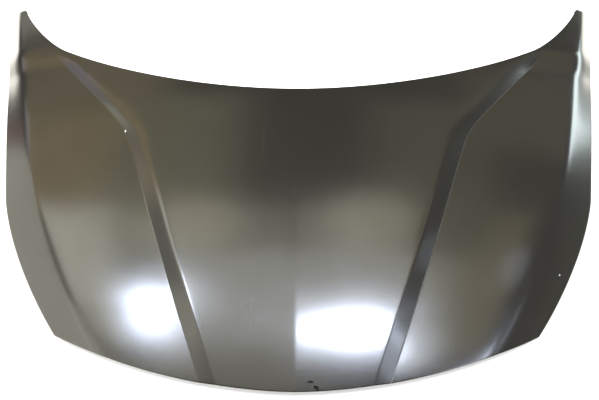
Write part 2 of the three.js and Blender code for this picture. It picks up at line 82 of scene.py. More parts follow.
# Plan outline of one half
CORNER = Vector((0.577, 0.151))
KINK = Vector((0.717, 0.483))
HORN = Vector((0.7563, 1.021))
TIP = Vector((0.724, 1.062))
REAR_MIDDLE = Vector((0.0, 0.741))
REAR_BEND = Vector((0.590, 0.889))

# Creases and shoulders in plan
CREASE = Vector((0.414, 0.638))
CREASE_SLOPE = 0.27
CREASE_BEND = 0.575
CREASE_BOW = 0.07
CREASE_BLEND = 0.030
CREASE_END_X = 0.642
SHOULDER = Vector((0.654, 0.548))
SHOULDER_SLOPE = 0.17
SHOULDER_BOW = 0.5
SHOULDER_END_X = 0.712

# Heights of the pressing
APEX_V = 0.678
RIDGE_FADE = (0.078, 0.628)
RIDGE_REACH = 0.060
RIDGE_RADIUS = 0.003
RAMP_FADE = (0.828, 0.903)
RAMP_FRONT_V = 0.198
RAMP_FRONT_SHARE = 0.35
RAMP_WIDTH = 0.037
RAMP_SOFTNESS = (0.002, 0.005)
RAMP_SOFTNESS_FADE = (0.15, 0.45)
CREASE_ROUND = 0.0012
BAND_SLOPE = 0.5
HORN_ROLL = 0.012
ROLL_RUN = 0.050
ROLL_FADE = (0.668, 1.028)
SOFTNESS = (0.040, 0.010)
SOFTNESS_FADE = (0.228, 0.578)

# Sheets and hem
SKIN_SHEET = 0.0007
FRAME_SHEET = 0.00065
HEM_WIDTH = 0.011
HEM_GAP = 0.0003
HEM_STACK = 2 * SKIN_SHEET + FRAME_SHEET + 2 * HEM_GAP
FRAME_EDGE = 0.0015

# Inner frame
RIM_GAP = 0.004
RIM_WIDTH = 0.022
WALL_RUN = 0.016
CENTRE_RIB_HALF = 0.034
CREASE_RIB_INBOARD = 0.056
CREASE_RIB_OUTBOARD = 0.020
SIDE_RIB_INBOARD = 0.030
SIDE_FLOOR_OUT = 0.020
FLANGE_INSIDE = 0.012
FLOOR_SHARE = 0.5
FLOOR_CLEARANCE = 0.003
GUIDE_STEP = 0.020

# Half the width of the CAD part's columns that turn from the raised middle into the ramp
RAMP_TURN = 0.010

# The CAD part's rows across the panel, as shares from front to rear, and its columns along it
CAD_ROWS = (0, 0.02, 0.05, 0.09, 0.13, 0.15, 0.25, 0.375, 0.455, 0.475,
            0.52, 0.54, 0.63, 0.72, 0.8, 0.82, 0.85, 0.9, 0.95, 0.98, 1)
FLOOR_ROWS = (2, 3, 4, 9, 10, 15, 16, 17, 18)
FLOOR_COLUMNS = (0, 1, 5, 6, 7, 8, 9, 10, 14, 15, 16, 17)
BLOCK_COLUMNS = (0, 9, 16, 19)
LAST_COLUMN = 19
LAST_ROW = 20


def lerp(a, b, share):
    return a + (b - a) * share


def smoothstep(value, low, high):
    share = min(1.0, max(0.0, (value - low) / (high - low)))
    return share * share * (3 - 2 * share)


def soft(distance, radius):
    """A ramp that starts at zero and turns into the distance over the radius."""
    return 0.5 * (math.hypot(distance, radius) + distance)


class PlanCurve:
    """Bezier curves and straight lines joined end to end, read by share of their length."""

    STEPS = 200
    HALVINGS = 40

    def __init__(self, *pieces):
        self.points = [Vector(pieces[0][0])]
        for piece in pieces:
            for step in range(1, self.STEPS + 1):
                self.points.append(self.on_piece(piece, step / self.STEPS))
        self.lengths = [0.0]
        for a, b in zip(self.points, self.points[1:]):
            self.lengths.append(self.lengths[-1] + (b - a).length)

    @staticmethod
    def on_piece(piece, t):
        if len(piece) == 2:
            return piece[0].lerp(piece[1], t)
        weights = ((1 - t) ** 3, 3 * t * (1 - t) ** 2, 3 * t * t * (1 - t), t ** 3)
        return sum((w * Vector(p) for w, p in zip(weights, piece)), Vector((0, 0)))

    @property
    def length(self):
        return self.lengths[-1]

    def at(self, share):
        goal = min(1.0, max(0.0, share)) * self.length
        high = min(max(1, bisect_left(self.lengths, goal)), len(self.lengths) - 1)
        span = self.lengths[high] - self.lengths[high - 1]
        return self.points[high - 1].lerp(self.points[high], (goal - self.lengths[high - 1]) / span)

    def inward(self, share, direction):
        """Unit normal to the left of the curve, or to its right where the direction is -1."""
        step = 0.003
        tangent = (self.at(share + step) - self.at(share - step)).normalized() * direction
        return Vector((-tangent.y, tangent.x))

    def spread_inward(self, share, direction, reaches):
        """Inward direction per unit of inset, spread beside a corner so that a hem doesn't fold up."""
        moved = share
        for end, reach in reaches.items():
            from_end = abs(end - share) * self.length
            if from_end < 2 * reach:
                moved = abs(end - (reach + from_end / 2) / self.length)
        inner = self.at(moved) + self.inward(moved, direction) * HEM_WIDTH
        return (inner - self.at(share)) / HEM_WIDTH

    def crossing(self, line_x):
        """Share of the length at which the curve crosses a line given as x for each v."""
        low, high = 0.0, 1.0
        for _ in range(self.HALVINGS):
            middle = (low + high) / 2
            point = self.at(middle)
            if point.x > line_x(point.y):
                high = middle
            else:
                low = middle
        return high


def bend(start, start_run, end, end_run):
    return (start, start + Vector(start_run), end - Vector(end_run), end)


FRONT_EDGE = PlanCurve(bend(Vector((0, 0)), (0.210, 0.005), CORNER, (0.147, 0.091)))
SIDE_EDGE = PlanCurve(
    bend(CORNER, (0.063, 0.095), KINK, (0.017, 0.108)),
    (KINK, HORN),
    bend(HORN, (0.002, 0.031), TIP, (-0.021, -0.001)),
)
REAR_EDGE = PlanCurve(
    bend(REAR_MIDDLE, (0.2, 0.0), REAR_BEND, (0.160, 0.093)),
    bend(REAR_BEND, (0.045, 0.026), TIP, (0.026, 0.069)),
)


def crease_x(v):
    ahead = v - CREASE.y
    straight = CREASE.x + CREASE_SLOPE * ahead + CREASE_BEND * soft(ahead, CREASE_BLEND)
    return straight - CREASE_BOW * max(0.0, -ahead) ** 2


def shoulder_x(v):
    ahead = v - SHOULDER.y
    return SHOULDER.x + SHOULDER_SLOPE * ahead - SHOULDER_BOW * max(0.0, -ahead) ** 2


class BonnetShape(bpy.types.PropertyGroup):
    nose_drop: bpy.props.FloatProperty(
        name="Nose drop", description="Fall of the centre line from its highest point to the nose",
        default=0.155, min=0.05, max=0.3, unit="LENGTH")
    rear_radius: bpy.props.FloatProperty(
        name="Rear radius", description="Radius of the centre line behind its highest point",
        default=1.1, min=0.5, max=4.0, unit="LENGTH")
    cross_radius: bpy.props.FloatProperty(
        name="Cross radius", description="Radius of the crown across the car",
        default=4.0, min=1.0, max=10.0, unit="LENGTH")
    ramp_height: bpy.props.FloatProperty(
        name="Ramp height", description="Drop from the raised middle to the crease",
        default=0.012, min=0.0, max=0.03, unit="LENGTH")
    ridge_slope: bpy.props.FloatProperty(
        name="Ridge slope", description="Slope beside the centre ridge at the rear",
        default=0.008, min=0.0, max=0.1)
    nose_ridge_slope: bpy.props.FloatProperty(
        name="Nose ridge slope", description="Slope beside the centre ridge at the nose",
        default=0.038, min=0.0, max=0.1)


class FrameShape(bpy.types.PropertyGroup):
    channel_depth: bpy.props.FloatProperty(
        name="Channel depth", description="Depth of the inner frame's channels under the skin",
        default=0.022, min=0.005, max=0.05, unit="LENGTH")
    cutout_radius: bpy.props.FloatProperty(
        name="Cut-out radius", description="Corner radius of the inner frame's cut-outs",
        default=0.030, min=0.005, max=0.08, unit="LENGTH")


class Pressing:
    """Height of the outer skin, level on its front corners and its horns as in the CAD part."""

    def __init__(self, shape):
        self.shape = shape
        self.corner = self.pressed(CORNER)
        rest = SIDE_EDGE.at(CAD_ROWS[LAST_ROW - 1])
        self.pitch = (self.pressed(rest) - self.corner) / (rest.y - CORNER.y)
        outline = [SIDE_EDGE.at(share) for share in CAD_ROWS]
        self.lowest = min(self.level(point) for point in outline)

    def pressed(self, point):
        shape = self.shape
        x, v = abs(point.x), point.y
        fall = shape.nose_drop * (max(0.0, APEX_V - v) / APEX_V) ** 2
        rear_fall = max(0.0, v - APEX_V) ** 2 / (2 * shape.rear_radius)
        ridge = lerp(shape.nose_ridge_slope, shape.ridge_slope, smoothstep(v, *RIDGE_FADE))
        from_ridge = math.hypot(x, RIDGE_RADIUS) - RIDGE_RADIUS
        ridge_drop = ridge * RIDGE_REACH * math.tanh(from_ridge / RIDGE_REACH)
        ramp = shape.ramp_height * (1 - smoothstep(v, *RAMP_FADE))
        ramp *= lerp(RAMP_FRONT_SHARE, 1.0, smoothstep(v, 0, RAMP_FRONT_V))
        inboard = soft(crease_x(v) - x, CREASE_ROUND)
        round_in = lerp(*RAMP_SOFTNESS, smoothstep(v, *RAMP_SOFTNESS_FADE))
        ramp_drop = ramp * soft(RAMP_WIDTH - inboard, round_in) / soft(RAMP_WIDTH, round_in)
        softness = lerp(*SOFTNESS, smoothstep(v, *SOFTNESS_FADE))
        outboard = x - shoulder_x(v)
        roll = HORN_ROLL * smoothstep(v, *ROLL_FADE) * smoothstep(outboard, 0, ROLL_RUN)
        band_drop = BAND_SLOPE * soft(outboard, softness) + roll
        crown = x * x / (2 * shape.cross_radius)
        return -fall - rear_fall - ridge_drop - crown - ramp_drop - band_drop

    def level(self, point):
        return self.pressed(point) - self.corner - self.pitch * (point.y - CORNER.y)

    def height(self, point):
        return self.level(point) - self.lowest + HEM_STACK

    def place(self, point, drop=0.0):
        return Vector((point.x, point.y - MID_V, self.height(point) - drop))


def middle_distances(width):
    rim = CENTRE_RIB_HALF + WALL_RUN
    far_rim = width - CREASE_RIB_INBOARD - WALL_RUN
    ramp = [width - RAMP_WIDTH + way * RAMP_TURN for way in (-1, 0, 1)]
    return [0, CENTRE_RIB_HALF, rim, (rim + far_rim) / 2, far_rim, width - CREASE_RIB_INBOARD,
            *ramp, width]


def outer_distances(width):
    near = CREASE_RIB_OUTBOARD + WALL_RUN
    far = SIDE_RIB_INBOARD + WALL_RUN
    scale = min(1.0, width / (near + far + RIM_WIDTH))
    near_side = [0, CREASE_RIB_OUTBOARD * scale, near * scale]
    far_side = [width - d * scale for d in (far, SIDE_RIB_INBOARD, SOFTNESS[1])]
    return near_side + [(near_side[2] + far_side[0]) / 2] + far_side + [width]


def side_distances(width):
    return [0, min(SIDE_FLOOR_OUT, width / 3), width - min(FLANGE_INSIDE, width / 3), width]


BLOCK_DISTANCES = (middle_distances, outer_distances, side_distances)


def mitre(a, b):
    return (a + b) / (1 + a.dot(b))


class PlanMap:
    """Plan points of one half by CAD column and row, inside a line at an inset from the edge.

    Columns and rows count the CAD part's own, and may lie between two of them.
    """

    def __init__(self, inset):
        self.inset = inset
        self.front_ends = (0.0, FRONT_EDGE.crossing(crease_x), FRONT_EDGE.crossing(shoulder_x), 1.0)
        self.rear_ends = (0.0, REAR_EDGE.crossing(lambda v: CREASE_END_X),
                          REAR_EDGE.crossing(lambda v: SHOULDER_END_X), 1.0)
        corner = mitre(FRONT_EDGE.inward(1, 1), SIDE_EDGE.inward(0, 1))
        tip = mitre(REAR_EDGE.inward(1, -1), SIDE_EDGE.inward(1, 1))
        self.corners = ((CORNER, corner), (TIP, tip))
        self.reaches = [HEM_WIDTH * math.sqrt(max(0.0, m.length_squared - 1)) for m in (corner, tip)]
        ends = [[self.edge_point(end, column) for end in (0, 1)] for column in BLOCK_COLUMNS[:3]]
        self.guides = [
            PlanCurve(ends[0]),
            self.guide(ends[1], crease_x, RAMP_FADE[1] - GUIDE_STEP),
            self.guide(ends[2], shoulder_x, HORN.y - 3 * GUIDE_STEP),
        ]

    @staticmethod
    def guide(ends, line_x, last_v):
        points = [ends[0]]
        v = ends[0].y + GUIDE_STEP
        while v < last_v:
            points.append(Vector((line_x(v), v)))
            v += GUIDE_STEP
        points.append(ends[1])
        return PlanCurve(*zip(points, points[1:]))

    def edge_place(self, end, column):
        """Outline point and inward direction at a column of the front or the rear edge."""
        if column >= LAST_COLUMN:
            return self.corners[end]
        edge = REAR_EDGE if end else FRONT_EDGE
        ends = self.rear_ends if end else self.front_ends
        block, share = self.block_share(column, [edge.length * (b - a) for a, b in zip(ends, ends[1:])])
        along = lerp(ends[block], ends[block + 1], share)
        direction = -1 if end else 1
        if column == 0:
            normal = edge.inward(0, direction)
            return edge.at(0), mitre(Vector((-normal.x, normal.y)), normal)
        return edge.at(along), edge.spread_inward(along, direction, {1: self.reaches[end]})

    def side_place(self, row):
        if row <= 0 or row >= LAST_ROW:
            return self.corners[int(row > 0)]
        share = row_share(row)
        return SIDE_EDGE.at(share), SIDE_EDGE.spread_inward(share, 1, dict(enumerate(self.reaches)))

    def edge_point(self, end, column):
        point, normal = self.edge_place(end, column)
        return point + normal * self.inset

    @staticmethod
    def block_share(column, widths):
        block = max(b for b in range(3) if column >= BLOCK_COLUMNS[b])
        distances = BLOCK_DISTANCES[block](widths[block])
        local = column - BLOCK_COLUMNS[block]
        step = min(int(local), len(distances) - 2)
        return block, lerp(distances[step], distances[step + 1], local - step) / widths[block]

    def row_guides(self, row):
        """Points of the three guide lines and the side at a row, and the widths between them."""
        point, normal = self.side_place(row)
        points = [guide.at(row_share(row)) for guide in self.guides] + [point + normal * self.inset]
        return points, [(b - a).length for a, b in zip(points, points[1:])]

    def straight(self, column, row_guides):
        points, widths = row_guides
        block, share = self.block_share(column, widths)
        return points[block].lerp(points[block + 1], share)

    def grid(self, columns, rows):
        """Rows of plan points: straight between the guides, and bent with the front and rear edges."""
        guides = [self.row_guides(row) for row in rows]
        ends = [self.row_guides(row) for row in (0, LAST_ROW)]
        bows = [[self.edge_point(end, column) - self.straight(column, ends[end]) for end in (0, 1)]
                for column in columns]
        return [[self.straight(column, guide) + front * (1 - row_share(row)) + rear * row_share(row)
                 for column, (front, rear) in zip(columns, bows)]
                for row, guide in zip(rows, guides)]


def row_share(row):
    low = min(int(row), LAST_ROW - 1)
    return lerp(CAD_ROWS[low], CAD_ROWS[low + 1], row - low)


def fine_steps(counts):
    """Places from 0 to the number of counts, with as many steps in each unit as its count."""
    return [unit + k / count for unit, count in enumerate(counts) for k in range(count)] + [len(counts)]


def mesh_object(bm, name, material):
    """A finished piece at the origin, made from a bmesh."""
    mesh = bpy.data.meshes.new(name)
    bm.to_mesh(mesh)
    bm.free()
    mesh.materials.append(material)
    piece = bpy.data.objects.new(name, mesh)
    bpy.context.scene.collection.objects.link(piece)
    return piece


def mirrored(point, column):
    return Vector((point.x if column >= 0 else -point.x, *point[1:]))


class Sheet:
    """A pressed sheet over both halves of the panel, grown from a flat grid."""

    def __init__(self, plan, columns, rows, place):
        self.plan, self.columns, self.rows = plan, columns, rows
        half, last = len(columns) - 1, len(rows) - 1
        self.bm = bmesh.new()
        bmesh.ops.create_grid(self.bm, x_segments=2 * half, y_segments=last, size=1.0)
        self.column_layer = self.bm.verts.layers.int.new("column")
        self.row_layer = self.bm.verts.layers.int.new("row")
        for vert in self.bm.verts:
            column = round(vert.co.x * half)
            row = round((vert.co.y + 1) / 2 * last)
            vert[self.column_layer], vert[self.row_layer] = column, row
            vert.co = mirrored(place(abs(column), row), column)

    def outline(self, vert):
        column, row = vert[self.column_layer], vert[self.row_layer]
        if row in (0, len(self.rows) - 1):
            return self.plan.edge_place(int(row > 0), self.columns[abs(column)])
        return self.plan.side_place(self.rows[row])

    def add_rings(self, rings, place):
        """Extrudes the open edge to rings that follow the outline, each an inset and a drop."""
        for inset, drop in rings:
            open_edges = [edge for edge in self.bm.edges if edge.is_boundary]
            made = bmesh.ops.extrude_edge_only(self.bm, edges=open_edges)["geom"]
            for vert in (item for item in made if isinstance(item, bmesh.types.BMVert)):
                point, normal = self.outline(vert)
                vert.co = mirrored(place(point + normal * inset, drop), vert[self.column_layer])

    def mark_sharp(self, column):
        """Keeps the fold along one column crisp in the shading."""
        index = self.columns.index(column)
        for edge in self.bm.edges:
            if all(abs(vert[self.column_layer]) == index for vert in edge.verts):
                edge.smooth = False

    def thicken(self, thickness):
        bmesh.ops.recalc_face_normals(self.bm, faces=self.bm.faces)
        bmesh.ops.solidify(self.bm, geom=self.bm.faces[:], thickness=thickness)
        for face in self.bm.faces:
            face.smooth = True
        return self.bm


# Mesh steps within each of the CAD part's columns and rows
SKIN_COLUMN_STEPS = (16, 2, 7, 7, 2, 3, 8, 10, 24, 20, 2, 5, 5, 3, 5, 7, 8, 5, 4)
SKIN_ROW_STEPS = (5, 4, 5, 5, 3, 12, 14, 9, 3, 5, 3, 10, 10, 9, 3, 4, 8, 12, 10, 8)
HEM_ROLL_STEPS = 8
# Half width of the worn line along the right crease
WEAR_WIDTH = 0.0012


def build_skin(shape, material):
    """Outer skin with a rolled hem all round, as one sheet of steel."""
    columns, rows = fine_steps(SKIN_COLUMN_STEPS), fine_steps(SKIN_ROW_STEPS)
    radius = HEM_STACK / 2
    plan = PlanMap(radius)
    pressing = Pressing(shape)
    grid = plan.grid(columns, rows)
    sheet = Sheet(plan, columns, rows, lambda column, row: pressing.place(grid[row][column]))
    turns = [math.pi * step / HEM_ROLL_STEPS for step in range(1, HEM_ROLL_STEPS + 1)]
    rings = [(radius - radius * math.sin(turn), radius - radius * math.cos(turn)) for turn in turns]
    rings += [((radius + HEM_WIDTH) / 2, HEM_STACK), (HEM_WIDTH, HEM_STACK)]
    sheet.add_rings(rings, pressing.place)
    sheet.mark_sharp(BLOCK_COLUMNS[1])
    skin = mesh_object(sheet.thicken(SKIN_SHEET), "skin", material)
    add_crease_wear(skin.data)
    return skin


def add_crease_wear(mesh):
    """Attribute that is 1 along the right crease, where another panel rubbed, and 0 a little beside it."""
    wear = mesh.attributes.new("crease_wear", "FLOAT", "POINT")
    for vert, item in zip(mesh.vertices, wear.data):
        v = vert.co.y + MID_V
        beside = (vert.co.x - crease_x(v)) / WEAR_WIDTH
        item.value = math.exp(-beside * beside) * (1 - smoothstep(v, *RAMP_FADE))


FRAME_COLUMN_STEPS = (4, 6, 6, 6, 6, 3, 3, 3, 2, 4, 6, 4, 4, 6, 4, 3, 5, 6, 3)
FRAME_ROW_STEPS = (3, 6, 4, 4, 6, 9, 11, 7, 6, 4, 6, 8, 8, 7, 6, 3, 5, 5, 6, 3)

# Places on the inner frame by CAD row and column
FLANGE_ROWS = (0, 1, 19, 20)
FLANGE_COLUMNS = (18, 19)
CREASE_RIB_COLUMNS = (5, 10)
HINGE_SEAT = ((16, 18), (10, 14))
HINGE_SEAT_CENTRE = (17, 12)
LATCH_SEAT = ((2, 4), (0, 2))
LATCH_SEAT_CENTRE = (3, 0)
POCKETS = (((5, 8), (2, 4)), ((11, 14), (2, 4)), ((5, 8), (11, 13)), ((11, 14), (11, 13)))
CLIP_PLACES = ((3, 7), (16.5, 3), (16.5, 7), (9.5, 7), (7, 14.5))

# Holes of the inner frame and the cutters that make them
CLIP_RADIUS = 0.0045
HINGE_HOLE_RADIUS = 0.0055
LATCH_HOLE_RADIUS = 0.0040
BORE_DEPTH = 0.03
BORE_SEGMENTS = 32
CLIP_BORE_DEPTH = 0.04
CLIP_BORE_DROP = 0.03
CUTTER_HEIGHT = 0.2
CUTOUT_POINT_STEP = 0.012
CUTOUT_CORNER_STEPS = 8
# Least width of a cut-out, in corner radii
CUTOUT_LEAST_WIDTH = 2.2
# Folds sharper than this keep their edge in the shading
FOLD_ANGLE = math.radians(45)


def presence(place, members):
    """1 at whole places that are members, 0 at the others, with a smooth wall between."""
    low = int(place)
    near, far = low in members, low + 1 in members
    return lerp(float(near), float(far), smoothstep(place - low, 0, 1))


def inside_range(place, first, last):
    """1 inside a range of places, falling smoothly to 0 one place outside it."""
    return smoothstep(place, first - 1, first) * (1 - smoothstep(place, last, last + 1))


class FramePressing:
    """Height of the inner frame's upper side by column and row, as the CAD part has it."""

    def __init__(self, shape, pressing, plan):
        self.shape, self.pressing, self.plan = shape, pressing, plan
        self.hinge = self.seat(*HINGE_SEAT_CENTRE)
        self.latch = self.seat(*LATCH_SEAT_CENTRE)

    def floor_drop(self, skin):
        depth = min(self.shape.channel_depth, FLOOR_SHARE * max(0.0, skin - FLOOR_CLEARANCE))
        return HEM_GAP + depth

    def seat(self, row, column):
        """Flat seat: its plan centre, its height there and its slopes."""
        centre = self.plan.grid([column], [row])[0][0]
        step = 0.005
        slopes = [(self.pressing.height(centre + way) - self.pressing.height(centre - way)) / (2 * step)
                  for way in (Vector((step, 0)), Vector((0, step)))]
        skin = self.pressing.height(centre)
        return centre, skin - SKIN_SHEET - self.floor_drop(skin), Vector(slopes)

    @staticmethod
    def on_seat(seat, point):
        centre, height, slopes = seat
        return height + slopes.dot(point - centre)

    def height(self, column, row, points, columns):
        """Height at one place of a row of plan points."""
        point = points[columns.index(column)]
        skin = self.pressing.height(point)
        floor = 1 - (1 - presence(column, FLOOR_COLUMNS)) * (1 - presence(row, FLOOR_ROWS))
        flange = 1 - (1 - presence(column, FLANGE_COLUMNS)) * (1 - presence(row, FLANGE_ROWS))
        ribbed = skin
        if CREASE_RIB_COLUMNS[0] < column < CREASE_RIB_COLUMNS[1]:
            first, last = (points[columns.index(end)] for end in CREASE_RIB_COLUMNS)
            share = (point - first).length / (last - first).length
            ribbed = min(skin, lerp(self.pressing.height(first), self.pressing.height(last), share))
        rim_top = skin - SKIN_SHEET - RIM_GAP
        floor_top = ribbed - SKIN_SHEET - self.floor_drop(skin)
        top = lerp(lerp(rim_top, floor_top, floor), skin - SKIN_SHEET - HEM_GAP, flange)
        for seat, (rows, seat_columns) in ((self.hinge, HINGE_SEAT), (self.latch, LATCH_SEAT)):
            share = inside_range(row, *rows) * inside_range(column, *seat_columns)
            top = lerp(top, self.on_seat(seat, point), share)
        return top


def pocket_outline(plan, rows, columns, cutout_radius):
    """Plan points round a cut-out: a rounded rectangle at the rim width inside its rim lines."""
    def plan_point(across, along):
        return plan.grid([lerp(*columns, across)], [lerp(*rows, along)])[0][0]

    width = (plan_point(1, 0.5) - plan_point(0, 0.5)).length
    length = (plan_point(0.5, 1) - plan_point(0.5, 0)).length
    radius = min(cutout_radius, (width - 2 * RIM_WIDTH) / CUTOUT_LEAST_WIDTH)
    outline = []
    centres = ((width - RIM_WIDTH - radius, length - RIM_WIDTH - radius),
               (RIM_WIDTH + radius, length - RIM_WIDTH - radius),
               (RIM_WIDTH + radius, RIM_WIDTH + radius),
               (width - RIM_WIDTH - radius, RIM_WIDTH + radius))
    for quarter, (x, y) in enumerate(centres):
        for step in range(CUTOUT_CORNER_STEPS + 1):
            turn = math.pi / 2 * (quarter + step / CUTOUT_CORNER_STEPS)
            outline.append((x + radius * math.cos(turn), y + radius * math.sin(turn)))
    filled = []
    for a, b in zip(outline, outline[1:] + outline[:1]):
        count = max(1, round(math.dist(a, b) / CUTOUT_POINT_STEP))
        filled += [(lerp(a[0], b[0], k / count), lerp(a[1], b[1], k / count)) for k in range(count)]
    return [plan_point(x / width, y / length) for x, y in filled]


def add_prism(bm, points, height):
    """A closed upright prism over plan points."""
    made = bmesh.ops.create_circle(bm, cap_ends=True, segments=len(points), radius=1.0)["verts"]
    for vert, point in zip(sorted(made, key=lambda v: math.atan2(v.co.y, v.co.x)), points):
        vert.co = Vector((point.x, point.y - MID_V, 0.0))
    face = made[0].link_faces[0]
    top = bmesh.ops.extrude_face_region(bm, geom=[face])["geom"]
    bmesh.ops.translate(bm, verts=[v for v in top if isinstance(v, bmesh.types.BMVert)], vec=(0, 0, height))


def add_bore(bm, centre, axis, radius, depth):
    turn = Vector((0, 0, 1)).rotation_difference(axis).to_matrix().to_4x4()
    bmesh.ops.create_cone(bm, cap_ends=True, segments=BORE_SEGMENTS, radius1=radius, radius2=radius,
                          depth=depth, matrix=Matrix.Translation(centre) @ turn)


def cut_away(piece, cutters):
    """Takes the cutters' volume out of a closed piece."""
    bmesh.ops.recalc_face_normals(cutters, faces=cutters.faces)
    tool = mesh_object(cutters, "cutters", piece.data.materials[0])
    cut = piece.modifiers.new("holes", "BOOLEAN")
    cut.object, cut.operation, cut.solver = tool, "DIFFERENCE", "MANIFOLD"
    result = piece.evaluated_get(bpy.context.evaluated_depsgraph_get())
    mesh = bpy.data.meshes.new_from_object(result)
    if not mesh.polygons:
        raise RuntimeError("nothing is left of %s after its cut-outs" % piece.name)
    piece.modifiers.clear()
    old, piece.data = piece.data, mesh
    mesh.name = piece.name
    bpy.data.meshes.remove(old)
    spent = tool.data
    bpy.data.objects.remove(tool)
    bpy.data.meshes.remove(spent)
    mesh.set_sharp_from_angle(angle=FOLD_ANGLE)


def node_centre(name):
    low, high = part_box(name)
    return (low + high) / 2


def build_frame(shape, frame_shape, material):
    """Pressed inner frame: flange, channels, ribs and rims, with cut-outs, bolt and clip holes."""
    columns, rows = fine_steps(FRAME_COLUMN_STEPS), fine_steps(FRAME_ROW_STEPS)
    plan = PlanMap(HEM_WIDTH)
    pressing = Pressing(shape)
    frame_pressing = FramePressing(frame_shape, pressing, plan)
    grid = plan.grid(columns, rows)

    def place(column, row):
        point = grid[row][column]
        height = frame_pressing.height(columns[column], rows[row], grid[row], columns)
        return Vector((point.x, point.y - MID_V, height))

    sheet = Sheet(plan, columns, rows, place)
    top = SKIN_SHEET + HEM_GAP
    sheet.add_rings([((FRAME_EDGE + HEM_WIDTH) / 2, top), (FRAME_EDGE, top)], pressing.place)
    piece = mesh_object(sheet.thicken(FRAME_SHEET), "pressed_frame", material)

    cutters = bmesh.new()
    for side, hand in ((-1, "left"), (1, "right")):
        for pocket_rows, pocket_columns in POCKETS:
            outline = pocket_outline(plan, pocket_rows, pocket_columns, frame_shape.cutout_radius)
            outline = [Vector((p.x * side, p.y)) for p in outline]
            add_prism(cutters, outline, CUTTER_HEIGHT)
        for row, column in CLIP_PLACES:
            p = plan.grid([column], [row])[0][0]
            centre = Vector((p.x * side, p.y - MID_V, pressing.height(p) - CLIP_BORE_DROP))
            add_bore(cutters, centre, Vector((0, 0, 1)), CLIP_RADIUS, CLIP_BORE_DEPTH)
        slopes = frame_pressing.hinge[2]
        axis = Vector((-slopes.x * side, -slopes.y, 1)).normalized()
        for end in ("front", "rear"):
            nut = node_centre("hinge_nut_%s_%s" % (hand, end))
            add_bore(cutters, nut, axis, HINGE_HOLE_RADIUS, BORE_DEPTH)
        slopes = frame_pressing.latch[2]
        axis = Vector((-slopes.x, -slopes.y, 1)).normalized()
        add_bore(cutters, node_centre("latch_nut_" + hand), axis, LATCH_HOLE_RADIUS, BORE_DEPTH)
    cut_away(piece, cutters)
    return piece


# Materials

def linear(hex_colour):
    """Linear colour, with alpha, from an sRGB hex value."""
    channels = [int(hex_colour[k:k + 2], 16) / 255 for k in (0, 2, 4)]
    return tuple(c / 12.92 if c <= 0.04045 else ((c + 0.055) / 1.055) ** 2.4 for c in channels) + (1.0,)


def add_node(tree, kind, settings=None, links=None):
    """One node with its settings: attributes by name, inputs by name or number, links to inputs."""
    node = tree.nodes.new(kind)
    for key, value in (settings or {}).items():
        if hasattr(node, str(key)) and not isinstance(key, int):
            setattr(node, key, value)
        else:
            node.inputs[key].default_value = value
    for key, source in (links or {}).items():
        tree.links.new(source, node.inputs[key])
    return node


def new_material(name):
    material = bpy.data.materials.new(name)
    material.use_nodes = True
    tree = material.node_tree
    return material, tree, tree.nodes["Principled BSDF"]


def colour_property(name, description, hex_colour):
    """A colour in the sidebar, with an sRGB hex value as its default."""
    return bpy.props.FloatVectorProperty(
        name=name, description=description, default=linear(hex_colour),
        size=4, min=0.0, max=1.0, subtype="COLOR")


class BonnetFinish(bpy.types.PropertyGroup):
    skin_colour: colour_property("Skin colour", "Cold rolled steel of the outer skin", "b3b1aa")
    film_colour: colour_property("Oil film colour", "Skin steel under the thicker oil film", "a5a197")
    dirt_colour: colour_property("Dirt colour", "Dark marks at the front edge", "3c342d")
    nick_colour: colour_property("Nick colour", "Torn metal of the small nicks", "d8dade")
    frame_colour: colour_property("Frame colour", "Cold rolled steel of the inner frame", "a9a6a0")
    plate_colour: colour_property("Plate colour", "Hot rolled steel of the reinforcements", "a2a09b")
    nut_colour: colour_property("Nut colour", "Machined steel of the weld nuts", "c4c2bc")
    mastic_colour: colour_property("Mastic colour", "Cured mastic of the pads", "26262a")
    skin_roughness: bpy.props.FloatProperty(
        name="Skin roughness", description="Roughness of the skin's clean steel",
        default=0.20, min=0.0, max=1.0, subtype="FACTOR")


FRAME_ROUGHNESS = 0.38
PLATE_ROUGHNESS = 0.42
NUT_ROUGHNESS = 0.35
MASTIC_ROUGHNESS = 0.85
FLOOR_ROUGHNESS = 0.9
FLOOR_SHINE = 0.1
# Rolling grain about 4 mm wide and 80 mm long, coarser than the real one so that it shows
GRAINS_PER_METRE = (12.0, 260.0, 26.0)
GRAIN_STRENGTH = 0.35
GRAIN_RELIEF = 0.000003
GRAIN_DULLNESS = 0.02
# Emery strokes about 2 mm wide and 100 mm long
STROKES_PER_METRE = (420.0, 10.0, 10.0)
# Oil film in clouds about 100 mm wide
CLOUDS_PER_METRE = 9.0


def rolled_steel(name, colour, roughness):
    """Bare steel, rolled, oiled and wiped: its fine grain, across the car, blurs what it reflects."""
    material, tree, shader = new_material(name)
    shader.inputs["Metallic"].default_value = 1.0
    place = add_node(tree, "ShaderNodeTexCoord").outputs["Object"]
    stretched = add_node(tree, "ShaderNodeMapping", {"Scale": GRAINS_PER_METRE}, {"Vector": place})
    grains = add_node(tree, "ShaderNodeTexNoise", {"Scale": 1.0, "Detail": 2.0},
                      {"Vector": stretched.outputs["Vector"]})
    dull_range = {"To Min": roughness - GRAIN_DULLNESS, "To Max": roughness + GRAIN_DULLNESS}
    dull = add_node(tree, "ShaderNodeMapRange", dull_range, {"Value": grains.outputs["Fac"]})
    shader.inputs["Base Color"].default_value = colour
    tree.links.new(dull.outputs["Result"], shader.inputs["Roughness"])
    bump = add_node(tree, "ShaderNodeBump", {"Strength": GRAIN_STRENGTH, "Distance": GRAIN_RELIEF},
                    {"Height": grains.outputs["Fac"]})
    tree.links.new(bump.outputs["Normal"], shader.inputs["Normal"])
    return material


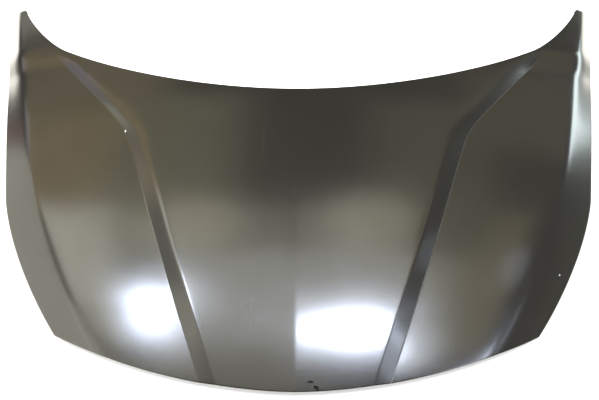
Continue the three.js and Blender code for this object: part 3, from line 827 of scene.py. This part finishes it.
# Marks on the skin, each by its place and its half sizes in plan
DARK_MARKS = (
    ((0.036, -0.508), (0.010, 0.003)),
    ((0.048, -0.519), (0.006, 0.004)),
    ((0.053, -0.524), (0.003, 0.006)),
)
PALE_MARKS = (
    ((0.629, -0.236), (0.002, 0.002)),
    ((-0.420, 0.105), (0.002, 0.004)),
)
DULL_MARKS = (
    ((-0.073, -0.501), (0.014, 0.006)),
    ((0.621, -0.254), (0.006, 0.008)),
    ((-0.463, 0.269), (0.022, 0.007)),
    ((-0.080, 0.065), (0.005, 0.070)),
    ((-0.004, -0.070), (0.004, 0.020)),
    ((-0.004, -0.120), (0.004, 0.022)),
    ((-0.004, -0.164), (0.004, 0.014)),
)
# Where the panel was rubbed with emery in strokes along the car
RUBBED = (((-0.097, -0.350), (0.062, 0.060)),)
# Half height of a mark, so tall that only its place in plan counts
MARK_HEIGHT = 1000.0
# Share of a mark's half sizes over which it has its full strength
MARK_CORE = 0.4
# What the worn crease, a dull mark and an emery stroke add to the roughness
WEAR_DULLNESS = 0.35
MARK_DULLNESS = 0.05
STROKE_DULLNESS = 0.12


def add_marks(tree, place, marks):
    """1 inside any of some marks, falling softly to 0 at their edges."""
    inside = None
    for centre, reach in marks:
        offset = add_node(tree, "ShaderNodeVectorMath", {"operation": "SUBTRACT", 1: (*centre, 0.0)},
                          {0: place})
        scaled = add_node(tree, "ShaderNodeVectorMath", {"operation": "DIVIDE", 1: (*reach, MARK_HEIGHT)},
                          {0: offset.outputs["Vector"]})
        away = add_node(tree, "ShaderNodeVectorMath", {"operation": "LENGTH"},
                        {0: scaled.outputs["Vector"]})
        one = add_node(tree, "ShaderNodeMapRange", {"From Min": 1.0, "From Max": MARK_CORE},
                       {"Value": away.outputs["Value"]}).outputs["Result"]
        if inside is not None:
            both = {0: inside, 1: one}
            one = add_node(tree, "ShaderNodeMath", {"operation": "MAXIMUM"}, both).outputs["Value"]
        inside = one
    return inside


def scaled_sum(tree, base, addition, share):
    """The base with a share of an addition on top."""
    return add_node(tree, "ShaderNodeMath", {"operation": "MULTIPLY_ADD", 1: share},
                    {0: addition, 2: base}).outputs["Value"]


def marked_steel(name, finish):
    """The skin's steel: cloudy oil film, a worn crease, small dark and pale marks and dull smears."""
    material = rolled_steel(name, finish.skin_colour, finish.skin_roughness)
    tree = material.node_tree
    shader = tree.nodes["Principled BSDF"]
    place = add_node(tree, "ShaderNodeTexCoord").outputs["Object"]
    # The oil film warms the grey of the steel here and there
    clouds = add_node(tree, "ShaderNodeTexNoise", {"Scale": CLOUDS_PER_METRE, "Detail": 3.0},
                      {"Vector": place})
    tints = {"data_type": "RGBA", 6: finish.skin_colour, 7: finish.film_colour}
    tint = add_node(tree, "ShaderNodeMix", tints, {0: clouds.outputs["Fac"]})
    dark = add_marks(tree, place, DARK_MARKS)
    dirty = add_node(tree, "ShaderNodeMix", {"data_type": "RGBA", 7: finish.dirt_colour},
                     {0: dark, 6: tint.outputs[2]})
    pale = add_marks(tree, place, PALE_MARKS)
    # Nicks are bright torn metal that scatters the light like chalk
    nicked = add_node(tree, "ShaderNodeMix", {"data_type": "RGBA", 7: finish.nick_colour},
                      {0: pale, 6: dirty.outputs[2]})
    tree.links.new(nicked.outputs[2], shader.inputs["Base Color"])
    metal = add_node(tree, "ShaderNodeMath", {"operation": "SUBTRACT", 0: 1.0}, {1: pale})
    tree.links.new(metal.outputs["Value"], shader.inputs["Metallic"])
    strokes = add_node(tree, "ShaderNodeMapping", {"Scale": STROKES_PER_METRE}, {"Vector": place})
    stroke = add_node(tree, "ShaderNodeTexNoise", {"Scale": 1.0, "Detail": 1.0},
                      {"Vector": strokes.outputs["Vector"]})
    rubbed = add_node(tree, "ShaderNodeMath", {"operation": "MULTIPLY"},
                      {0: add_marks(tree, place, RUBBED), 1: stroke.outputs["Fac"]})
    wear = add_node(tree, "ShaderNodeAttribute", {"attribute_name": "crease_wear"})
    dullness = shader.inputs["Roughness"].links[0].from_socket
    dullness = scaled_sum(tree, dullness, wear.outputs["Fac"], WEAR_DULLNESS)
    dullness = scaled_sum(tree, dullness, add_marks(tree, place, DULL_MARKS), MARK_DULLNESS)
    dullness = scaled_sum(tree, dullness, rubbed.outputs["Value"], STROKE_DULLNESS)
    tree.links.new(dullness, shader.inputs["Roughness"])
    return material


def cured_mastic(name, colour):
    """Cured sealing mastic: dark, matte and slightly rough."""
    material, _, shader = new_material(name)
    shader.inputs["Base Color"].default_value = colour
    shader.inputs["Roughness"].default_value = MASTIC_ROUGHNESS
    return material


class BONNET_OT_skin(bpy.types.Operator):
    """Build the pressed outer skin with its hem"""

    bl_idname = "bonnet.skin"
    bl_label = "Outer skin"

    def execute(self, context):
        scene = context.scene
        steel = marked_steel("cold rolled skin steel", scene.bonnet_finish)
        skin = build_skin(scene.bonnet_shape, steel)
        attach(skin, "root")
        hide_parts("outer_skin")
        return {"FINISHED"}


class BONNET_OT_frame(bpy.types.Operator):
    """Build the pressed inner frame with its cut-outs and holes"""

    bl_idname = "bonnet.frame"
    bl_label = "Inner frame"

    def execute(self, context):
        scene = context.scene
        steel = rolled_steel("cold rolled frame steel", scene.bonnet_finish.frame_colour,
                             FRAME_ROUGHNESS)
        piece = build_frame(scene.bonnet_shape, scene.bonnet_frame, steel)
        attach(piece, "root")
        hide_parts("inner_frame")
        return {"FINISHED"}


class BONNET_OT_fittings(bpy.types.Operator):
    """Give the plates, the nuts and the mastic pads their finishes"""

    bl_idname = "bonnet.fittings"
    bl_label = "Plates, nuts and pads"

    def execute(self, context):
        finish = context.scene.bonnet_finish
        finishes = {
            "plate_steel": rolled_steel("hot rolled plate steel", finish.plate_colour, PLATE_ROUGHNESS),
            "nut_steel": rolled_steel("machined nut steel", finish.nut_colour, NUT_ROUGHNESS),
            "mastic": cured_mastic("cured mastic", finish.mastic_colour),
        }
        slots = {row["node"]: row["material_slot"] for row in frame["record"]["subparts"]}
        for name, node in frame["nodes"].items():
            if slots[name] in finishes:
                node.data.materials.clear()
                node.data.materials.append(finishes[slots[name]])
        return {"FINISHED"}


class Studio(bpy.types.PropertyGroup):
    floor_tone: bpy.props.FloatProperty(
        name="Floor tone", description="Albedo of the pale floor",
        default=0.9, min=0.1, max=1.0, subtype="FACTOR")
    fill_power: bpy.props.FloatProperty(
        name="Fill power", description="Power of the soft light on the floor",
        default=1000.0, min=0.0, unit="POWER")
    lamp_radiance: bpy.props.FloatProperty(
        name="Lamp radiance", description="Radiance of the brightest lamps that the steel mirrors",
        default=9.0, min=0.0)


# Lamps that the panel mirrors as white spots: place, size, and share of the lamp radiance
LAMPS = {
    "left lamp": ((-0.73, -0.520, 1.35), (0.29, 0.19), 1.0),
    "left lamp glow": ((-0.71, -0.515, 1.36), (0.62, 0.46), 0.05),
    "right lamp": ((0.225, -0.632, 1.0), (0.38, 0.205), 1.0),
    "right lamp glow": ((0.245, -0.625, 1.01), (0.68, 0.46), 0.06),
    "ramp lamp": ((1.22, -0.92, 1.35), (0.20, 0.14), 0.5),
    "ramp glow": ((1.02, -1.06, 1.35), (0.55, 0.40), 0.11),
    "low ramp glow": ((0.725, -0.26, 0.51), (0.15, 0.17), 0.024),
    "far lamp": ((2.67, -1.37, 2.48), (0.30, 0.30), 0.15),
}
LAMP_COLOUR = "d3e0ff"
# Light between the ceiling beams, beside the dark one that the middle of the panel mirrors
POOLS = {
    "left pool": ((-0.80, 0.14, 2.6), (0.75, 0.70), 0.38),
    "right pool": ((0.46, 0.18, 2.6), (0.64, 0.78), 0.38),
}
POOL_COLOUR = "f8f6ea"
# Broad soft panels overhead, grey near the nose and brown over the rear
PANEL_HEIGHT = 2.7
PANELS = {
    "left front panel": ((-2.05, -0.25), (1.3, 1.5), 0.72, "f6f8f2"),
    "left nose panel": ((-3.0, -1.6), (1.3, 1.0), 0.45, "f6f8f2"),
    "left rear panel": ((-2.5, 1.25), (2.0, 1.9), 0.235, "ffe5ae"),
    "left far panel": ((-2.4, 4.15), (2.4, 3.9), 0.15, "ffecc0"),
    "middle left panel": ((-1.05, 1.1), (1.1, 2.6), 0.14, "fffdd9"),
    "middle right panel": ((0.95, 1.0), (0.9, 2.4), 0.07, "fff8d2"),
    "right front panel": ((1.35, -0.35), (0.8, 1.5), 0.19, "fff4cf"),
    "right rear panel": ((2.0, 2.6), (1.3, 2.4), 0.065, "fff0c8"),
    "front strip panel": ((-0.1, -0.72), (2.1, 1.1), 0.54, "f4f7fb"),
    "middle strip panel": ((0.3, 0.10), (2.8, 0.6), 0.16, "f8f6ea"),
    "nose strip panel": ((-1.2, -1.5), (2.8, 0.8), 0.22, "fbfaf4"),
}
# Window and walls that the rolled sides mirror, each with the point that it faces
WALLS = {
    "right window": ((5.50, 3.80, 2.20), (0.7, 0.2, 0.07), (3.2, 1.9), 3.0, "e0f2ff"),
    "right sill": ((5.40, 3.90, 0.75), (0.7, 0.2, 0.07), (3.0, 1.0), 0.65, "e0f2ff"),
    "left wall": ((-2.0, -0.44, 0.70), (-0.7, -0.44, 0.70), (2.15, 1.40), 0.47, "f6f7f0"),
    "left post": ((-2.0, 0.74, 0.35), (-0.7, 0.20, 0.10), (0.16, 0.45), 0.22, "b04a38"),
    "left upper wall": ((-2.0, 1.05, 1.12), (-0.7, 0.2, 0.1), (0.6, 0.55), 0.25, "efe8ff"),
    "left rear wall": ((-2.0, 3.2, 0.70), (-0.7, 0.45, 0.03), (0.9, 0.5), 0.35, "f6f7f0"),
}
FILL_HEIGHT = 5.0
FILL_SIZE = (6.0, 6.0)
WORLD_COLOUR = "565654"
FLOOR_HALF_WIDTH = 8.0
# The floor lies this far under the panel, so that their faces don't meet
FLOOR_DROP = 0.0005


def add_softbox(name, position, target, size, radiance, colour, shape="RECTANGLE"):
    """A softbox aimed at a point, as bright as its radiance over its whole face."""
    light = bpy.data.lights.new(name, "AREA")
    light.shape = shape
    light.size, light.size_y = size
    area = size[0] * size[1] * (math.pi / 4 if shape == "ELLIPSE" else 1.0)
    light.energy = radiance * math.pi * area
    light.color = linear(colour)[:3]
    lamp = bpy.data.objects.new(name, light)
    aim = (Vector(target) - Vector(position)).to_track_quat("-Z", "Y")
    lamp.matrix_world = Matrix.LocRotScale(Vector(position), aim, None)
    bpy.context.scene.collection.objects.link(lamp)
    return lamp


def add_overhead(name, position, size, radiance, colour="ffffff", shape="RECTANGLE"):
    """A softbox that faces straight down."""
    return add_softbox(name, position, (*position[:2], 0.0), size, radiance, colour, shape)


def add_floor(tone):
    bm = bmesh.new()
    bmesh.ops.create_grid(bm, x_segments=1, y_segments=1, size=FLOOR_HALF_WIDTH,
                          matrix=Matrix.Translation((0.0, 0.0, -FLOOR_DROP)))
    # Matt paint, which shows soft shadows and no reflections
    material, _, shader = new_material("matt painted studio floor")
    shader.inputs["Base Color"].default_value = (tone, tone, tone, 1.0)
    shader.inputs["Roughness"].default_value = FLOOR_ROUGHNESS
    shader.inputs["Specular IOR Level"].default_value = FLOOR_SHINE
    mesh_object(bm, "floor", material)


# Camera found from the outline of the photographed panel, with its sensor width in millimetres
CAMERA_ELEVATION = math.radians(64.717)
CAMERA_AZIMUTH = math.radians(3.046)
CAMERA_ROLL = math.radians(-2.669)
CAMERA_DISTANCE = 3.6
CAMERA_TARGET = Vector((0.0070, -0.0603, 0.09))
IMAGE_WIDTH = 599
FOCAL_PIXELS = 1488.6
SENSOR_WIDTH = 36.0


def add_camera():
    camera_data = bpy.data.cameras.new("camera")
    camera_data.sensor_fit = "HORIZONTAL"
    camera_data.sensor_width = SENSOR_WIDTH
    camera_data.lens = FOCAL_PIXELS / IMAGE_WIDTH * SENSOR_WIDTH
    camera = bpy.data.objects.new("camera", camera_data)
    bpy.context.scene.collection.objects.link(camera)
    flat = math.cos(CAMERA_ELEVATION)
    back = Vector((math.sin(CAMERA_AZIMUTH) * flat, -math.cos(CAMERA_AZIMUTH) * flat,
                   math.sin(CAMERA_ELEVATION)))
    level_right = (-back).cross(Vector((0, 0, 1))).normalized()
    level_up = back.cross(level_right)
    right = level_right * math.cos(CAMERA_ROLL) + level_up * math.sin(CAMERA_ROLL)
    up = back.cross(right)
    turn = Matrix((right, up, back)).transposed().to_quaternion()
    camera.matrix_world = Matrix.LocRotScale(CAMERA_TARGET + back * CAMERA_DISTANCE, turn, None)
    bpy.context.scene.camera = camera


class BONNET_OT_stage(bpy.types.Operator):
    """Set the pale floor, the soft light and the camera"""

    bl_idname = "bonnet.stage"
    bl_label = "Studio"

    def execute(self, context):
        studio = context.scene.bonnet_studio
        add_floor(studio.floor_tone)
        world = bpy.data.worlds.new("studio")
        context.scene.world = world
        world.use_nodes = True
        background = world.node_tree.nodes["Background"]
        background.inputs["Color"].default_value = linear(WORLD_COLOUR)
        background.inputs["Strength"].default_value = 1.0
        context.scene.view_settings.view_transform = "Standard"
        for name, (position, size, share) in LAMPS.items():
            add_overhead(name, position, size, share * studio.lamp_radiance, LAMP_COLOUR, "ELLIPSE")
        for name, (position, size, radiance) in POOLS.items():
            add_overhead(name, position, size, radiance, POOL_COLOUR, "ELLIPSE")
        for name, (plan_place, size, radiance, colour) in PANELS.items():
            add_overhead(name, (*plan_place, PANEL_HEIGHT), size, radiance, colour)
        for name, (position, target, size, radiance, colour) in WALLS.items():
            add_softbox(name, position, target, size, radiance, colour)
        # Soft light for the floor, which leaves no reflection of its own in the steel
        fill = add_overhead("fill", (0.0, 0.0, FILL_HEIGHT), FILL_SIZE, 1.0)
        fill.data.energy = studio.fill_power
        fill.visible_glossy = False
        add_camera()
        return {"FINISHED"}


class BONNET_PT_panel(bpy.types.Panel):
    """Pieces of the bonnet and its studio"""

    bl_label = "Bonnet"
    bl_idname = "BONNET_PT_panel"
    bl_space_type = "VIEW_3D"
    bl_region_type = "UI"
    bl_category = "Bonnet"

    def draw(self, context):
        for group_name, group in GROUPS.items():
            box = self.layout.box()
            for name in group.__annotations__:
                box.prop(getattr(context.scene, group_name), name)
        for operator in OPERATORS:
            self.layout.operator(operator.bl_idname)


OPERATORS = (BONNET_OT_skin, BONNET_OT_frame, BONNET_OT_fittings, BONNET_OT_stage)
GROUPS = {
    "bonnet_shape": BonnetShape,
    "bonnet_frame": FrameShape,
    "bonnet_finish": BonnetFinish,
    "bonnet_studio": Studio,
}
CLASSES = tuple(GROUPS.values()) + OPERATORS + (BONNET_PT_panel,)


def register():
    for cls in CLASSES:
        bpy.utils.register_class(cls)
    for name, group in GROUPS.items():
        setattr(bpy.types.Scene, name, bpy.props.PointerProperty(type=group))


def unregister():
    for name in GROUPS:
        delattr(bpy.types.Scene, name)
    for cls in reversed(CLASSES):
        bpy.utils.unregister_class(cls)


def main():
    register()
    bpy.ops.bonnet.skin()
    bpy.ops.bonnet.frame()
    bpy.ops.bonnet.fittings()
    bpy.ops.bonnet.stage()


if __name__ == "__main__":
    main()
